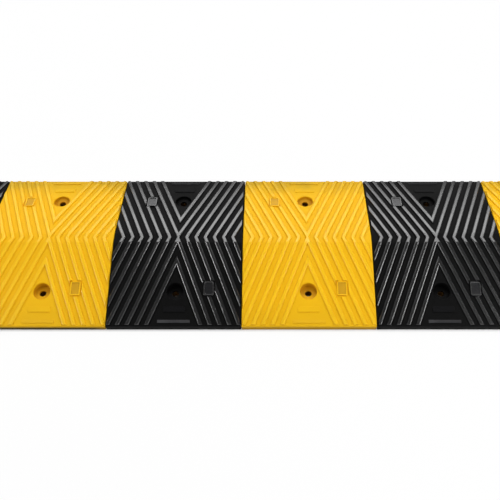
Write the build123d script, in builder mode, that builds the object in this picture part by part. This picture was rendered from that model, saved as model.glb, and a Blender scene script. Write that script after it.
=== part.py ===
from build123d import *
import math
import os

# A road speed bump: hollow moulded modules pushed together end to end, each bolted to the road
# through two recessed holes. X runs along the row, Y is the way the traffic goes and Z is up.
# The origin is on the road, under the ridge, in the middle of the row. All sizes are millimetres.

# The row, from its left end to its right end
module_colours = ["black", "yellow", "black", "yellow", "black", "yellow"]
module_pitch = 250.0  # from one joint to the next
joint_gap = 1.0  # between the end faces of two modules

# Cross-section of a module: a lip on the road, a lower slope, a gentler upper slope and a level ridge
module_width = 350.0
overall_height = 50.0  # from the road to the top of the ribs on the ridge
lip_height = 11.5
ridge_width = 22.0  # level top of the ridge, from front to back
break_reach = 64.0  # from the middle of the ridge to the line where the two slopes meet
break_drop = 10.6  # from the ridge down to that line
lip_rounding = 2.0
end_rounding = 1.5

# Tread ribs, which lie slantwise and point to the middle of the module in chevrons
rib_height = 3.2
rib_pitch = 17.86  # along the row
rib_base = 10.0  # along the row
rib_crown = 6.4  # along the row
rib_rounding = 1.8
rib_slant = 21.8  # degrees, seen from above, from the way the traffic goes
rib_margin = 2.2  # from the ends of the ribs to the edges of the module
rib_to_recess = 0.5  # from the foot of the nearest rib to the rim of a bolt recess

# Hollow underside with stiffening webs
skin = 6.0  # thickness of the top, measured straight down
end_wall = 6.0
edge_wall = 10.0
web = 4.0
cells_along = 4
cells_across = 7

# Bolt holes, each with a recess for the head and a steel bush pressed in from below
bolt_inset = 67.0  # from the lip to the hole
bolt_hole = 13.0
recess_diameter = 32.0
recess_depth = 9.0  # below the skin, on the hole's axis
recess_floor_thickness = 3.5
recess_rounding = 1.0
boss_wall = 4.0
bush_diameter = 18.0
bush_clearance = 0.1
bush_chamfer = 0.6

# Link at each module end: one tongue and one socket, so a module fits either way round
tongue_width = 34.0
tongue_thickness = 10.0
tongue_reach = 14.0
tongue_chamfer = 2.0
tongue_height = 11.0  # from the road to the middle of the tongue
link_clearance = 0.5

# Blank raised pad beside each hole, a plain bar below the hole and a plain strip by the lip
pad_length = 27.0
pad_width = 19.0
pad_rim = 2.2
pad_sink = 1.2
pad_rounding = 2.5
pad_edge = 0.6
pad_side = 63.0  # from the hole, along the row
pad_offset = 4.0  # from the hole, up the slope
pad_clearance = 2.5
bar_size = (41.0, 11.0)
bar_inset = 32.0  # from the lip to the middle of the bar
strip_size = (60.0, 6.0)
strip_inset = 9.0  # from the lip to the middle of the strip
plate_height = 1.3
plate_rounding = 1.2
plate_edge = 0.5

# What is added to or cut from a module starts this far past the surface that it meets
overlap = 0.8

module_length = module_pitch - joint_gap
half_length = module_length / 2
half_width = module_width / 2
ridge_height = overall_height - rib_height
break_height = ridge_height - break_drop
ridge_reach = ridge_width / 2
upper_reach = break_reach - ridge_reach
lower_reach = half_width - break_reach
lower_drop = break_height - lip_height
bolt_reach = half_width - bolt_inset
bolt_radius = bolt_hole / 2
recess_radius = recess_diameter / 2
bush_radius = bush_diameter / 2
recess_rim_radius = recess_radius + recess_rounding
rib_lean = math.tan(math.radians(rib_slant))
cavity_length = module_length - 2 * end_wall
cavity_half_width = half_width - edge_wall
cell_width = 2 * cavity_half_width / cells_across


def skin_height(reach):
    """Height of the plain skin at a distance from the middle of the ridge."""
    if reach <= ridge_reach:
        return ridge_height
    if reach <= break_reach:
        return ridge_height - break_drop * (reach - ridge_reach) / upper_reach
    return break_height - lower_drop * (reach - break_reach) / lower_reach


def slope_plane(x, reach):
    """Plane on the front lower slope, with its own X along the row and its own Y up the slope."""
    return Plane(
        origin=(x, -reach, skin_height(reach)),
        x_dir=(1, 0, 0),
        z_dir=(0, -lower_drop, lower_reach),
    )


recess_floor = skin_height(bolt_reach) - recess_depth
bush_top = recess_floor - recess_floor_thickness
bolt_places = [(0, -bolt_reach), (0, bolt_reach)]


def draw_section(reach, drop):
    """Draws the space between the road and the skin, lowered by drop and ended at a reach."""
    near_side = [
        (reach, 0),
        (reach, skin_height(reach) - drop),
        (break_reach, break_height - drop),
        (ridge_reach, ridge_height - drop),
    ]
    far_side = [(-y, z) for y, z in reversed(near_side)]
    Polygon(*near_side, *far_side, align=None)


def draw_ribs(first_x, count, height):
    """Draws the cross-sections of a row of ribs that stand on the skin at one height."""
    with Locations(*[(first_x + i * rib_pitch, height) for i in range(count)]):
        Polygon(
            (-rib_base / 2, -overlap),
            (rib_base / 2, -overlap),
            (rib_crown / 2, rib_height),
            (-rib_crown / 2, rib_height),
            align=None,
        )


# Blank pad to the right of the front hole: a raised rim round a shallow sunk field
pad_plane = slope_plane(pad_side, bolt_reach - pad_offset)

with BuildPart() as pad:
    with BuildSketch(pad_plane.offset(-overlap)):
        RectangleRounded(pad_width, pad_length, pad_rounding)
    extrude(amount=overlap + rib_height)
    with BuildSketch(pad_plane.offset(rib_height)):
        RectangleRounded(pad_width - 2 * pad_rim, pad_length - 2 * pad_rim, pad_rounding / 2)
    extrude(amount=-pad_sink, mode=Mode.SUBTRACT)
    pad_rim_face = pad.faces().sort_by(Axis(pad_plane.origin, pad_plane.z_dir))[-1]
    fillet(pad_rim_face.edges(), pad_edge)


def make_plate(size, inset):
    """Makes a low plain plate on the front slope, in line with the hole."""
    plane = slope_plane(0, half_width - inset)
    with BuildPart() as plate:
        with BuildSketch(plane.offset(-overlap)):
            RectangleRounded(*size, plate_rounding)
        extrude(amount=overlap + plate_height)
        top_face = plate.faces().sort_by(Axis(plane.origin, plane.z_dir))[-1]
        fillet(top_face.edges(), plate_edge)
    return plate.part


bar = make_plate(bar_size, bar_inset)
strip = make_plate(strip_size, strip_inset)


# Ribs, pad and plates of the front half, which turned half round also dress the back half
# Along the row, the rib nearest to a bolt hole just clears its recess, and the others follow on
hole_to_rib = (recess_rim_radius + rib_to_recess) / math.cos(math.radians(rib_slant)) + rib_base / 2
first_rib = hole_to_rib - rib_lean * bolt_reach
rib_count = math.ceil((half_length - rib_margin - first_rib) / rib_pitch)
ridge_run = Vector(rib_lean * ridge_reach, -ridge_reach, 0)
upper_run = Vector(rib_lean * upper_reach, -upper_reach, -break_drop)
lower_run = Vector(rib_lean * lower_reach, -lower_reach, -lower_drop)

with BuildPart() as dressing:
    run_start = Vector(first_rib, 0, ridge_height)
    for run in (ridge_run, upper_run, lower_run):
        with BuildSketch(Plane.XZ.offset(-run_start.Y)) as rib_sections:
            draw_ribs(run_start.X, rib_count, run_start.Z)
            fillet(rib_sections.vertices().group_by(Axis.Y)[-1], rib_rounding)
        extrude(amount=run.length, dir=run)
        run_start += run
    with BuildSketch():
        Rectangle(
            half_length - rib_margin,
            half_width - rib_margin,
            align=(Align.MIN, Align.MAX),
        )
    extrude(amount=overall_height + overlap, mode=Mode.INTERSECT)
    mirror(about=Plane.YZ)
    with BuildSketch(pad_plane):
        Rectangle(pad_width + 2 * pad_clearance, pad_length + 2 * pad_clearance)
    extrude(amount=2 * rib_height, both=True, mode=Mode.SUBTRACT)
    add(pad.part)
    add(bar)
    add(strip)


# Space under the skin: the webs and the bolt bosses stay standing in it
with BuildPart() as cavity:
    with BuildSketch(Plane.YZ.offset(-cavity_length / 2)):
        draw_section(cavity_half_width, skin)
    extrude(amount=cavity_length)
    with BuildSketch():
        with GridLocations(cavity_length / cells_along, 0, cells_along - 1, 1):
            Rectangle(web, module_width)
        with GridLocations(0, cell_width, 1, cells_across - 1):
            Rectangle(module_length, web)
        with Locations(*bolt_places):
            Circle(bush_radius + bush_clearance + boss_wall)
    extrude(amount=overall_height, mode=Mode.SUBTRACT)
    with BuildSketch(Plane.XY.offset(bush_top)):
        with Locations(*bolt_places):
            Circle(recess_radius + boss_wall)
    extrude(amount=overall_height, mode=Mode.SUBTRACT)


# Tongue of the right-hand end, with a lead-in round its tip
with BuildPart() as tongue:
    with BuildSketch(Plane.YZ.offset(half_length - end_wall)):
        with Locations((cell_width, tongue_height)):
            Rectangle(tongue_width, tongue_thickness)
    extrude(amount=end_wall + tongue_reach)
    chamfer(tongue.faces().sort_by(Axis.X)[-1].edges(), tongue_chamfer)


def is_recess_wall(face):
    """Tells the upright wall of a bolt recess from other round faces."""
    return math.isclose(face.radius, recess_radius)


# One module, centred over the origin
with BuildPart() as module:
    with BuildSketch(Plane.YZ.offset(-half_length)) as outline:
        draw_section(half_width, 0)
        lip_corners = outline.vertices().group_by(Axis.Y)[1]
        fillet(lip_corners, lip_rounding)
    extrude(amount=module_length)
    end_faces = module.faces().filter_by(Axis.X)
    edges_off_the_road = [edge for face in end_faces for edge in face.edges().sort_by(Axis.Z)[1:]]
    fillet(edges_off_the_road, end_rounding)
    with Locations(*[(x, y, overall_height) for x, y in bolt_places]):
        CounterBoreHole(bolt_radius, recess_radius, overall_height - recess_floor)
    recess_walls = module.faces().filter_by(GeomType.CYLINDER).filter_by(is_recess_wall)
    fillet(recess_walls.edges().filter_by(GeomType.ELLIPSE), recess_rounding)
    add(cavity.part, mode=Mode.SUBTRACT)
    for turn in (0, 180):
        add(dressing.part.rotate(Axis.Z, turn))
        add(tongue.part.rotate(Axis.Z, turn))
    with Locations((half_length, -cell_width, tongue_height), (-half_length, cell_width, tongue_height)):
        Box(
            2 * (end_wall + overlap),
            tongue_width + 2 * link_clearance,
            tongue_thickness + 2 * link_clearance,
            mode=Mode.SUBTRACT,
        )
    with BuildSketch():
        with Locations(*bolt_places):
            Circle(bush_radius + bush_clearance)
    extrude(amount=bush_top, mode=Mode.SUBTRACT)


# Steel bush that takes the clamping load of one bolt down to the road
with BuildPart() as bush:
    with BuildSketch():
        Circle(bush_radius)
        Circle(bolt_radius, mode=Mode.SUBTRACT)
    extrude(amount=bush_top)
    outer_edges = bush.edges().filter_by(GeomType.CIRCLE).group_by(SortBy.RADIUS)[-1]
    chamfer(outer_edges, bush_chamfer)


def place(piece, label, x, y):
    """Writes one copy of a piece, moved to its place in the row."""
    with BuildPart() as placed:
        with Locations((x, y, 0)):
            add(piece.part)
    placed.part.label = label
    export_step(placed.part, f"parts/{label}.step")


os.makedirs("parts", exist_ok=True)
for index, colour in enumerate(module_colours):
    middle = (index - (len(module_colours) - 1) / 2) * module_pitch
    place(module, f"module_{index + 1}_{colour}", middle, 0)
    place(bush, f"bush_{index + 1}_front", middle, -bolt_reach)
    place(bush, f"bush_{index + 1}_back", middle, bolt_reach)
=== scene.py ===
import math

import bpy
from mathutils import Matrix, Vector


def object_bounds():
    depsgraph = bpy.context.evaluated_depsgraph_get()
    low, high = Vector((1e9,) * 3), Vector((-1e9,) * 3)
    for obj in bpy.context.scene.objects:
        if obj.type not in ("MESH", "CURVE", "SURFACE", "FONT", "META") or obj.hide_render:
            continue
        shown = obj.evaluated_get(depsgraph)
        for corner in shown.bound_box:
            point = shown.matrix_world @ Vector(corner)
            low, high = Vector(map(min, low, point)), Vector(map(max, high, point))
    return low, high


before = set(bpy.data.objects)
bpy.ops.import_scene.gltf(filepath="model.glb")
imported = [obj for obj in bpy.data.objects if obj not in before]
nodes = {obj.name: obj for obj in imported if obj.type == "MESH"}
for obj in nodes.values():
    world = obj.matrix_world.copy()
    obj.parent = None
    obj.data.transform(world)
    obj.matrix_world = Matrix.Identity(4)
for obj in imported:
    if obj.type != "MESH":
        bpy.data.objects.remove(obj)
cad_low, cad_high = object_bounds()


# Tread of the modules
# Every module is one hollow moulding with two slopes on each side of a level ridge. Slanted ribs
# stand on them. Tyres polish the crowns, and the grooves, recesses, lips and feet get painted shade.
rib_height = 0.0032
ridge_reach = 0.011  # half the level top of the ridge
break_reach = 0.064  # from the middle of the ridge to the line where the two slopes meet
break_drop = 0.0106  # from the ridge down to that line
lip_height = 0.0115
hole_reach = 0.108  # from the middle of the ridge to the bolt holes
recess_radius = 0.016
crown_band = (0.80, 0.98)  # shares of the rib's height where the paler crown starts and where it is full; it is partly wear and partly a painted highlight
polish_band = (0.50, 0.75)  # the same for the polish
groove_band = (0.75, 0.05)  # the same for the painted shade in the grooves
recess_band = (-0.001, -0.005)  # the same for the painted shade in a recess, as heights over the skin
recess_shade_ramp = (-recess_radius, 0.3 * recess_radius)  # across a recess, from its front side to its back side, where the painted shade is deepest
front_recess_shade = 0.35  # painted shade on the front side of a recess, against one on its back side
verge_width = 0.06  # strip along each lip that gets painted shade
front_side_shade = 0.2  # painted shade along the front lip, against one along the back lip
foot_band = (lip_height, 0.3 * lip_height)  # heights where the painted shade on the lip starts and where it is full
dark_foot_end = (-0.28, -0.23)  # along the row; left of it the painted shade on the foot is darkest
foot_shade_rest = 0.475  # painted shade on the rest of the foot, against one there
half_width = cad_high.y
ridge_height = cad_high.z - rib_height
break_height = ridge_height - break_drop
upper_fall = break_drop / (break_reach - ridge_reach)
lower_fall = (break_height - lip_height) / (half_width - break_reach)


def add_node(tree, kind, inputs=None, **settings):
    """Adds a shader node; inputs are numbers, colours or the sockets that feed it."""
    node = tree.nodes.new(kind)
    for name, value in settings.items():
        setattr(node, name, value)
    for name, value in (inputs or {}).items():
        if isinstance(value, bpy.types.NodeSocket):
            tree.links.new(value, node.inputs[name])
        else:
            node.inputs[name].default_value = value
    return node


def calculate(tree, operation, *values):
    """Adds a sum on one, two or three numbers and returns its result."""
    return add_node(tree, "ShaderNodeMath", dict(enumerate(values)), operation=operation).outputs[0]


def fade(tree, value, start, end, low=0.0, high=1.0):
    """Turns a value into a smooth step from low at start to high at end."""
    settings = {"Value": value, "From Min": start, "From Max": end, "To Min": low, "To Max": high}
    return add_node(tree, "ShaderNodeMapRange", settings, interpolation_type="SMOOTHSTEP").outputs["Result"]


def blend_colour(tree, share, first, second):
    """Mixes two colours by a share and returns the result."""
    mix = add_node(tree, "ShaderNodeMix", {"Factor": share}, data_type="RGBA")
    # The node has sockets of the same names for numbers and directions, so the colours go by position
    first_socket, second_socket, result = mix.inputs[6], mix.inputs[7], mix.outputs[2]
    for socket, value in ((first_socket, first), (second_socket, second)):
        if isinstance(value, bpy.types.NodeSocket):
            tree.links.new(value, socket)
        else:
            socket.default_value = (*value, 1.0)
    return result


def new_group(name, outputs):
    """Starts a shader node group that turns a place on the row into named numbers."""
    group = bpy.data.node_groups.new(name, "ShaderNodeTree")
    group.interface.new_socket("Place", in_out="INPUT", socket_type="NodeSocketVector")
    for output in outputs:
        group.interface.new_socket(output, in_out="OUTPUT", socket_type="NodeSocketFloat")
    place = group.nodes.new("NodeGroupInput").outputs["Place"]
    return group, place, group.nodes.new("NodeGroupOutput").inputs


def make_tread_masks():
    """How far a place is on a rib's crown, in a groove, in a hollow, on the foot or near a lip."""
    names = ["Crown", "Polish", "Groove", "Hollow", "Foot", "Verge"]
    group, place, results = new_group("tread_masks", names)
    axes = add_node(group, "ShaderNodeSeparateXYZ", {"Vector": place}).outputs
    reach = calculate(group, "ABSOLUTE", axes["Y"])
    past_ridge = calculate(group, "MAXIMUM", calculate(group, "SUBTRACT", reach, ridge_reach), 0.0)
    upper_drop = calculate(group, "MULTIPLY", past_ridge, upper_fall)
    upper_slope = calculate(group, "SUBTRACT", ridge_height, upper_drop)
    past_break = calculate(group, "SUBTRACT", reach, break_reach)
    past_drop = calculate(group, "MULTIPLY", past_break, lower_fall)
    lower_slope = calculate(group, "SUBTRACT", break_height, past_drop)
    skin = calculate(group, "MINIMUM", upper_slope, lower_slope)
    above = calculate(group, "SUBTRACT", axes["Z"], skin)
    up_the_rib = calculate(group, "DIVIDE", above, rib_height)
    # Paler crowns are partly wear and partly a painted highlight; the grooves get painted shade
    for name, band in (("Crown", crown_band), ("Polish", polish_band), ("Groove", groove_band)):
        group.links.new(fade(group, up_the_rib, *band), results[name])

    # Painted shade in the bolt recesses, deepest on their back side
    hole_line = calculate(group, "MULTIPLY", calculate(group, "SIGN", axes["Y"]), hole_reach)
    past_hole = calculate(group, "SUBTRACT", axes["Y"], hole_line)
    back_recess_shade = fade(group, past_hole, *recess_shade_ramp, front_recess_shade, 1.0)
    sunk = fade(group, above, *recess_band)
    group.links.new(calculate(group, "MULTIPLY", sunk, back_recess_shade), results["Hollow"])

    # Painted shade on the foot of the lips, darker towards the left end of the row
    at_foot = fade(group, axes["Z"], *foot_band)
    foot_shade_along = fade(group, axes["X"], *dark_foot_end, 1.0, foot_shade_rest)
    group.links.new(calculate(group, "MULTIPLY", at_foot, foot_shade_along), results["Foot"])

    # Painted shade along the lips, deeper along the back lip
    lip_shade_by_side = fade(group, axes["Y"], -break_reach, break_reach, front_side_shade, 1.0)
    by_lip = fade(group, reach, half_width - verge_width, half_width)
    group.links.new(calculate(group, "MULTIPLY", by_lip, lip_shade_by_side), results["Verge"])
    return group


tread_masks = make_tread_masks()


# Blank pads and strips
# Beside each bolt hole stands a raised pad with a sunk field, and by each lip lies a low strip. They
# are part of the moulding and blank. On yellow the fields get painted shade and the strips are a little
# darker; on black the fields are a little paler and the strips carry a painted highlight.
module_pitch = 0.25
pad_place = (0.063, 0.104)  # from the middle of the module, along the row and from the ridge
pad_field = (0.0146, 0.0226)
strip_place = (0.0, 0.166)
strip_size = (0.060, 0.006)


def make_plate_masks():
    """Whether a place lies in the sunk field of a pad, and whether it lies on a strip."""
    group, place, results = new_group("plate_masks", ["Field", "Strip"])
    axes = add_node(group, "ShaderNodeSeparateXYZ", {"Vector": place}).outputs
    in_module = calculate(group, "WRAP", axes["X"], module_pitch, 0.0)
    from_middle = calculate(group, "SUBTRACT", in_module, module_pitch / 2)
    back_half = calculate(group, "SIGN", axes["Y"])
    along = calculate(group, "MULTIPLY", calculate(group, "MULTIPLY", from_middle, back_half), -1.0)
    reach = calculate(group, "ABSOLUTE", axes["Y"])
    for name, middle, size in (("Field", pad_place, pad_field), ("Strip", strip_place, strip_size)):
        beside = calculate(group, "COMPARE", along, middle[0], size[0] / 2)
        level = calculate(group, "COMPARE", reach, middle[1], size[1] / 2)
        group.links.new(calculate(group, "MULTIPLY", beside, level), results[name])
    return group


plate_masks = make_plate_masks()


# Black modules
# Mouldings of carbon-black compound with a satin skin. They lie first, third and fifth in the row,
# and only the crowns of their ribs catch the light.
black_colours = {
    "plain": (0.006, 0.006, 0.007),
    "uneven": (0.008, 0.008, 0.009),
    # painted shade in the grooves
    "groove": (0.004, 0.004, 0.004),
    # partly worn and partly a painted highlight on the crowns
    "crown": (0.009, 0.009, 0.009),
    "scuff": (0.030, 0.029, 0.027),
    "field": (0.010, 0.010, 0.011),
    # painted highlight on the strips
    "strip": (0.070, 0.070, 0.073),
    # painted shade along the lips
    "verge": (0.008, 0.008, 0.008),
    # painted shade in the bolt recesses
    "hollow": (0.003, 0.003, 0.003),
    # painted shade on the foot of the lips
    "foot": (0.003, 0.003, 0.003),
}
grain_scale = (420.0, 420.0, 420.0)  # waves in a metre along X, Y and Z, as for the other noises
grain_detail = 4.0
grain_strength = 0.35
grain_depth = 0.0003
pit_scale = 900.0
pit_share = 0.5  # depth of the pits, against one for the grain
cloud_scale = (16.0, 16.0, 16.0)
cloud_detail = 5.0
cloud_edges = (0.35, 0.65)
streak_scale = (260.0, 9.0, 40.0)
streak_detail = 3.0
streak_edges = (0.55, 0.72)
scuff_cover = 0.6  # share of a crown's colour that a scuff takes
scuff_roughness = 0.08
patch_cover = (0.5, 0.9)  # weakest and strongest patches of the pad fields, strips and painted lip shade
shaded_lip_polish = 0.4  # polish left under the full painted shade along the lips
coat_roughness = 0.21
coat_ior = 2.0


def add_noise(tree, place, scale, detail):
    """Adds an uneven grey with its own scale along each axis and returns it."""
    scaled = add_node(tree, "ShaderNodeMapping", {"Vector": place, "Scale": scale}).outputs["Vector"]
    inputs = {"Vector": scaled, "Scale": 1.0, "Detail": detail}
    return add_node(tree, "ShaderNodeTexNoise", inputs).outputs["Fac"]


def make_moulded_grain():
    """Grain of the mould's surface, broad unevenness of the colour, and scuffs along the traffic."""
    group, place, results = new_group("moulded_grain", ["Grain", "Mottle", "Scuff"])
    coarse = add_noise(group, place, grain_scale, grain_detail)
    pits = add_node(group, "ShaderNodeTexVoronoi", {"Vector": place, "Scale": pit_scale})
    pit_depth = calculate(group, "MULTIPLY", pits.outputs["Distance"], pit_share)
    group.links.new(calculate(group, "ADD", coarse, pit_depth), results["Grain"])
    clouds = add_noise(group, place, cloud_scale, cloud_detail)
    group.links.new(fade(group, clouds, *cloud_edges), results["Mottle"])
    streaks = add_noise(group, place, streak_scale, streak_detail)
    group.links.new(fade(group, streaks, *streak_edges), results["Scuff"])
    return group


moulded_grain = make_moulded_grain()


def make_moulding(name, colours, roughness, specular, polish):
    """Material of a module: a moulded colour with polished crowns, scuffs, painted highlights and painted
    shade.
    """
    material = bpy.data.materials.new(name)
    material.use_nodes = True
    tree = material.node_tree
    shader = tree.nodes["Principled BSDF"]
    shader.inputs["Specular IOR Level"].default_value = specular
    shader.inputs["Coat Roughness"].default_value = coat_roughness
    shader.inputs["Coat IOR"].default_value = coat_ior
    place = add_node(tree, "ShaderNodeTexCoord").outputs["Object"]
    groups = []
    for used in (tread_masks, plate_masks, moulded_grain):
        groups.append(add_node(tree, "ShaderNodeGroup", {"Place": place}, node_tree=used).outputs)
    masks, plates, grain = groups

    scuffs = calculate(tree, "MULTIPLY", grain["Scuff"], scuff_cover)
    worn = calculate(tree, "MULTIPLY", masks["Crown"], scuffs)
    patches = fade(tree, grain["Mottle"], 0.0, 1.0, *patch_cover)
    # painted shade in the pad fields on yellow, a paler tone on black
    field_tone = calculate(tree, "MULTIPLY", plates["Field"], patches)
    # a painted highlight on the strips on black, a slightly darker tone on yellow
    strip_tone = calculate(tree, "MULTIPLY", plates["Strip"], patches)
    shade_by_lips = calculate(tree, "MULTIPLY", masks["Verge"], patches)
    colour = blend_colour(tree, grain["Mottle"], colours["plain"], colours["uneven"])
    # The groove, verge, hollow and foot layers are painted shade, the crown layer is partly a painted
    # highlight
    layers = (
        (masks["Groove"], "groove"),
        (masks["Crown"], "crown"),
        (worn, "scuff"),
        (field_tone, "field"),
        (strip_tone, "strip"),
        (shade_by_lips, "verge"),
        (masks["Hollow"], "hollow"),
        (masks["Foot"], "foot"),
    )
    for share, layer in layers:
        colour = blend_colour(tree, share, colour, colours[layer])
    tree.links.new(colour, shader.inputs["Base Color"])

    rough, polished = roughness
    crown_roughness = fade(tree, masks["Crown"], 0.0, 1.0, rough, polished)
    scuffing = calculate(tree, "MULTIPLY", grain["Scuff"], scuff_roughness)
    tree.links.new(calculate(tree, "ADD", crown_roughness, scuffing), shader.inputs["Roughness"])
    polish_left = fade(tree, shade_by_lips, 0.0, 1.0, polish, shaded_lip_polish * polish)
    tree.links.new(calculate(tree, "MULTIPLY", masks["Polish"], polish_left), shader.inputs["Coat Weight"])
    relief = {"Strength": grain_strength, "Distance": grain_depth, "Height": grain["Grain"]}
    bump = add_node(tree, "ShaderNodeBump", relief)
    tree.links.new(bump.outputs["Normal"], shader.inputs["Normal"])
    return material


def dress(names, material):
    """Gives a material to whole CAD pieces."""
    for name in names:
        mesh = nodes[name].data
        mesh.materials.clear()
        mesh.materials.append(material)


black_moulding = make_moulding(
    "black_moulding",
    black_colours,
    roughness=(0.5, 0.36),  # as moulded, and on the crowns
    specular=0.05,
    polish=1.0,
)
dress([name for name in nodes if name.endswith("_black")], black_moulding)


# Yellow modules
# The same moulding in warning yellow. The colour goes through the whole piece; the crowns are a little
# paler, partly worn and partly a painted highlight, and grooves, recesses, fields and lips get painted
# shade.
yellow_colours = {
    "plain": (0.88, 0.505, 0.008),
    "uneven": (0.86, 0.485, 0.006),
    # painted shade in the grooves
    "groove": (0.84, 0.47, 0.006),
    # partly worn and partly a painted highlight on the crowns
    "crown": (0.89, 0.525, 0.010),
    "scuff": (0.91, 0.56, 0.02),
    # painted shade in the pad fields
    "field": (0.56, 0.29, 0.012),
    "strip": (0.84, 0.47, 0.012),
    # painted shade along the lips
    "verge": (0.50, 0.31, 0.012),
    # painted shade in the bolt recesses
    "hollow": (0.58, 0.28, 0.006),
    # painted shade on the foot of the lips
    "foot": (0.05, 0.036, 0.004),
}
yellow_moulding = make_moulding(
    "yellow_moulding",
    yellow_colours,
    roughness=(0.52, 0.42),  # as moulded, and on the crowns
    specular=0.1,
    polish=0.14,
)
dress([name for name in nodes if name.endswith("_yellow")], yellow_moulding)


# Bushes
# Short turned steel tubes, zinc plated and passivated yellow, pressed into the bosses from below so
# that the bolts clamp steel and not the moulding. Fine turning rings run round them, and the plating
# has dull spots. Its yellow is darkened to brown, which paints the shade down the bolt holes.
# the plating's yellow, darkened as painted shade down the bolt holes
bright_zinc = (0.24, 0.15, 0.05)
dull_zinc = (0.13, 0.08, 0.03)
zinc_roughness = (0.28, 0.55)  # bright and dull
ring_scale = (40.0, 40.0, 3000.0)
ring_detail = 2.0
ring_strength = 0.2
ring_depth = 0.0001
spot_scale = (300.0, 300.0, 300.0)
spot_detail = 5.0
spot_edges = (0.45, 0.7)


def make_bush_steel():
    """Turned steel with a yellow zinc plating, darkened brown as painted shade for the bolt holes."""
    material = bpy.data.materials.new("bush_steel")
    material.use_nodes = True
    tree = material.node_tree
    shader = tree.nodes["Principled BSDF"]
    shader.inputs["Metallic"].default_value = 1.0
    place = add_node(tree, "ShaderNodeTexCoord").outputs["Object"]
    rings = add_noise(tree, place, ring_scale, ring_detail)
    dullness = fade(tree, add_noise(tree, place, spot_scale, spot_detail), *spot_edges)
    tree.links.new(blend_colour(tree, dullness, bright_zinc, dull_zinc), shader.inputs["Base Color"])
    tree.links.new(fade(tree, dullness, 0.0, 1.0, *zinc_roughness), shader.inputs["Roughness"])
    relief = {"Strength": ring_strength, "Distance": ring_depth, "Height": rings}
    bump = add_node(tree, "ShaderNodeBump", relief)
    tree.links.new(bump.outputs["Normal"], shader.inputs["Normal"])
    return material


dress([name for name in nodes if name.startswith("bush_")], make_bush_steel())


# Floor
# A pale studio floor. Seen directly it is nearly white away from the object, and close to the
# object and under it only the light that reaches it counts, which keeps the shadow.
floor_half = 12.0
floor_colour = (0.85, 0.85, 0.85, 1.0)
floor_white = 0.95  # share of the floor that is seen plain white
shade_width = 0.006  # strip round the row over which that white fades in
modules_each_side = 3
row_end = modules_each_side * module_pitch


def make_floor():
    """Builds the floor as one plain sheet under the row."""
    mesh = bpy.data.meshes.new("floor")
    corners = [(x * floor_half, y * floor_half, 0.0) for x, y in ((-1, -1), (1, -1), (1, 1), (-1, 1))]
    mesh.from_pydata(corners, [], [(0, 1, 2, 3)])
    floor = bpy.data.objects.new("floor", mesh)
    bpy.context.scene.collection.objects.link(floor)
    material = bpy.data.materials.new("floor")
    material.use_nodes = True
    tree = material.node_tree
    tree.nodes.clear()
    diffuse = add_node(tree, "ShaderNodeBsdfDiffuse", {"Color": floor_colour})
    white = add_node(tree, "ShaderNodeEmission", {"Strength": 1.0})
    ray = add_node(tree, "ShaderNodeLightPath").outputs
    seen = calculate(tree, "MAXIMUM", ray["Is Camera Ray"], ray["Is Glossy Ray"])
    seen = calculate(tree, "MAXIMUM", seen, ray["Is Transmission Ray"])
    place = add_node(tree, "ShaderNodeTexCoord").outputs["Object"]
    axes = add_node(tree, "ShaderNodeSeparateXYZ", {"Vector": place}).outputs
    past_end = calculate(tree, "SUBTRACT", calculate(tree, "ABSOLUTE", axes["X"]), row_end)
    past_lip = calculate(tree, "SUBTRACT", calculate(tree, "ABSOLUTE", axes["Y"]), half_width)
    away = fade(tree, calculate(tree, "MAXIMUM", past_end, past_lip), 0.0, shade_width)
    share = calculate(tree, "MULTIPLY", calculate(tree, "MULTIPLY", seen, away), floor_white)
    mix = add_node(tree, "ShaderNodeMixShader", {"Fac": share, 1: diffuse.outputs[0], 2: white.outputs[0]})
    output = add_node(tree, "ShaderNodeOutputMaterial")
    tree.links.new(mix.outputs[0], output.inputs["Surface"])
    mesh.materials.append(material)
    return floor


make_floor()


# Light
# A room with white walls and a dim ceiling. A wide panel and a small lamp hang behind the row, and a
# soft box in front. The narrow strip at each side makes the bright lines on the edges of the ribs.
wall_top = 0.1  # height of a direction in the room, from 0 at the horizon to 1 overhead
ceiling_start = 0.4  # the same
ceiling_level = 0.06  # brightness, against one for the walls


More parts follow.
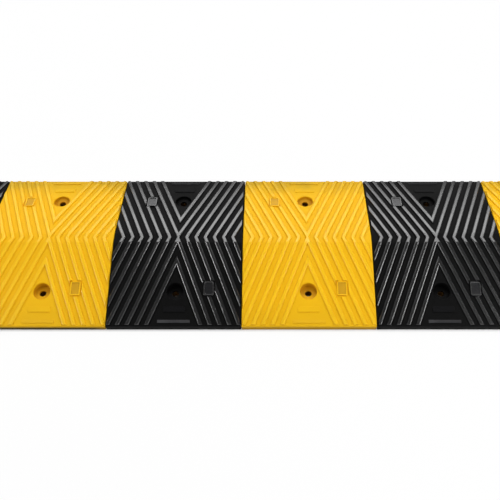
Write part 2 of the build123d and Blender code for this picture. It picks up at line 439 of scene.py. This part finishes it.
def make_room():
    """Lights the scene from all round, brightest near the horizon."""
    room = bpy.data.worlds.new("pale_room")
    room.use_nodes = True
    tree = room.node_tree
    direction = add_node(tree, "ShaderNodeTexCoord").outputs["Generated"]
    height = add_node(tree, "ShaderNodeSeparateXYZ", {"Vector": direction}).outputs["Z"]
    background = tree.nodes["Background"]
    background.inputs["Color"].default_value = (1.0, 1.0, 1.0, 1.0)
    level = fade(tree, height, wall_top, ceiling_start, 1.0, ceiling_level)
    tree.links.new(level, background.inputs["Strength"])
    return room


def add_soft_box(name, place, size, watts):
    """Hangs a rectangular lamp that faces the middle of the row."""
    lamp = bpy.data.lights.new(name, "AREA")
    lamp.shape = "RECTANGLE"
    lamp.size, lamp.size_y = size
    lamp.energy = watts
    holder = bpy.data.objects.new(name, lamp)
    holder.location = place
    holder.rotation_euler = (-Vector(place)).to_track_quat("-Z", "Y").to_euler()
    bpy.context.scene.collection.objects.link(holder)


bpy.context.scene.world = make_room()
add_soft_box("back_panel", place=(0.0, 1.7, 1.5), size=(2.8, 1.35), watts=34.0)
add_soft_box("back_lamp", place=(0.175, 1.0, 1.75), size=(0.2, 0.2), watts=3.0)
add_soft_box("front_box", place=(0.7, -1.0, 1.05), size=(1.2, 0.8), watts=7.6)
add_soft_box("left_strip", place=(-1.68, -0.1, 1.38), size=(0.38, 1.0), watts=16.5)
add_soft_box("right_strip", place=(1.68, -0.1, 1.38), size=(0.38, 1.0), watts=15.0)


# Camera
# The photo looks down on the row from the front. The camera stands a little to the right of the
# middle joint, and its lens is shifted so that the joint keeps its place in the square picture.
photo_pixels = 500.0
sensor_width = 36.0
view_elevation = math.radians(55.0)
view_distance = 1.383
view_scale = 693.2  # pixels across, for a thing as wide as it is far
axis_pixel_x = 271.0
row_pixel_y = 251.9
stand = Vector((0.0548, 0.0, 0.0))

lens = bpy.data.cameras.new("camera")
lens.sensor_width = sensor_width
lens.lens = view_scale * sensor_width / photo_pixels
lens.shift_x = (photo_pixels / 2 - axis_pixel_x) / photo_pixels
camera = bpy.data.objects.new("camera", lens)
back = Vector((0.0, -math.cos(view_elevation), math.sin(view_elevation)))
camera.location = stand + back * view_distance
tilt = math.atan((row_pixel_y - photo_pixels / 2) / view_scale)
camera.rotation_euler = (math.pi / 2 - view_elevation + tilt, 0.0, 0.0)
bpy.context.scene.collection.objects.link(camera)
bpy.context.scene.camera = camera
bpy.context.scene.view_settings.view_transform = "Standard"
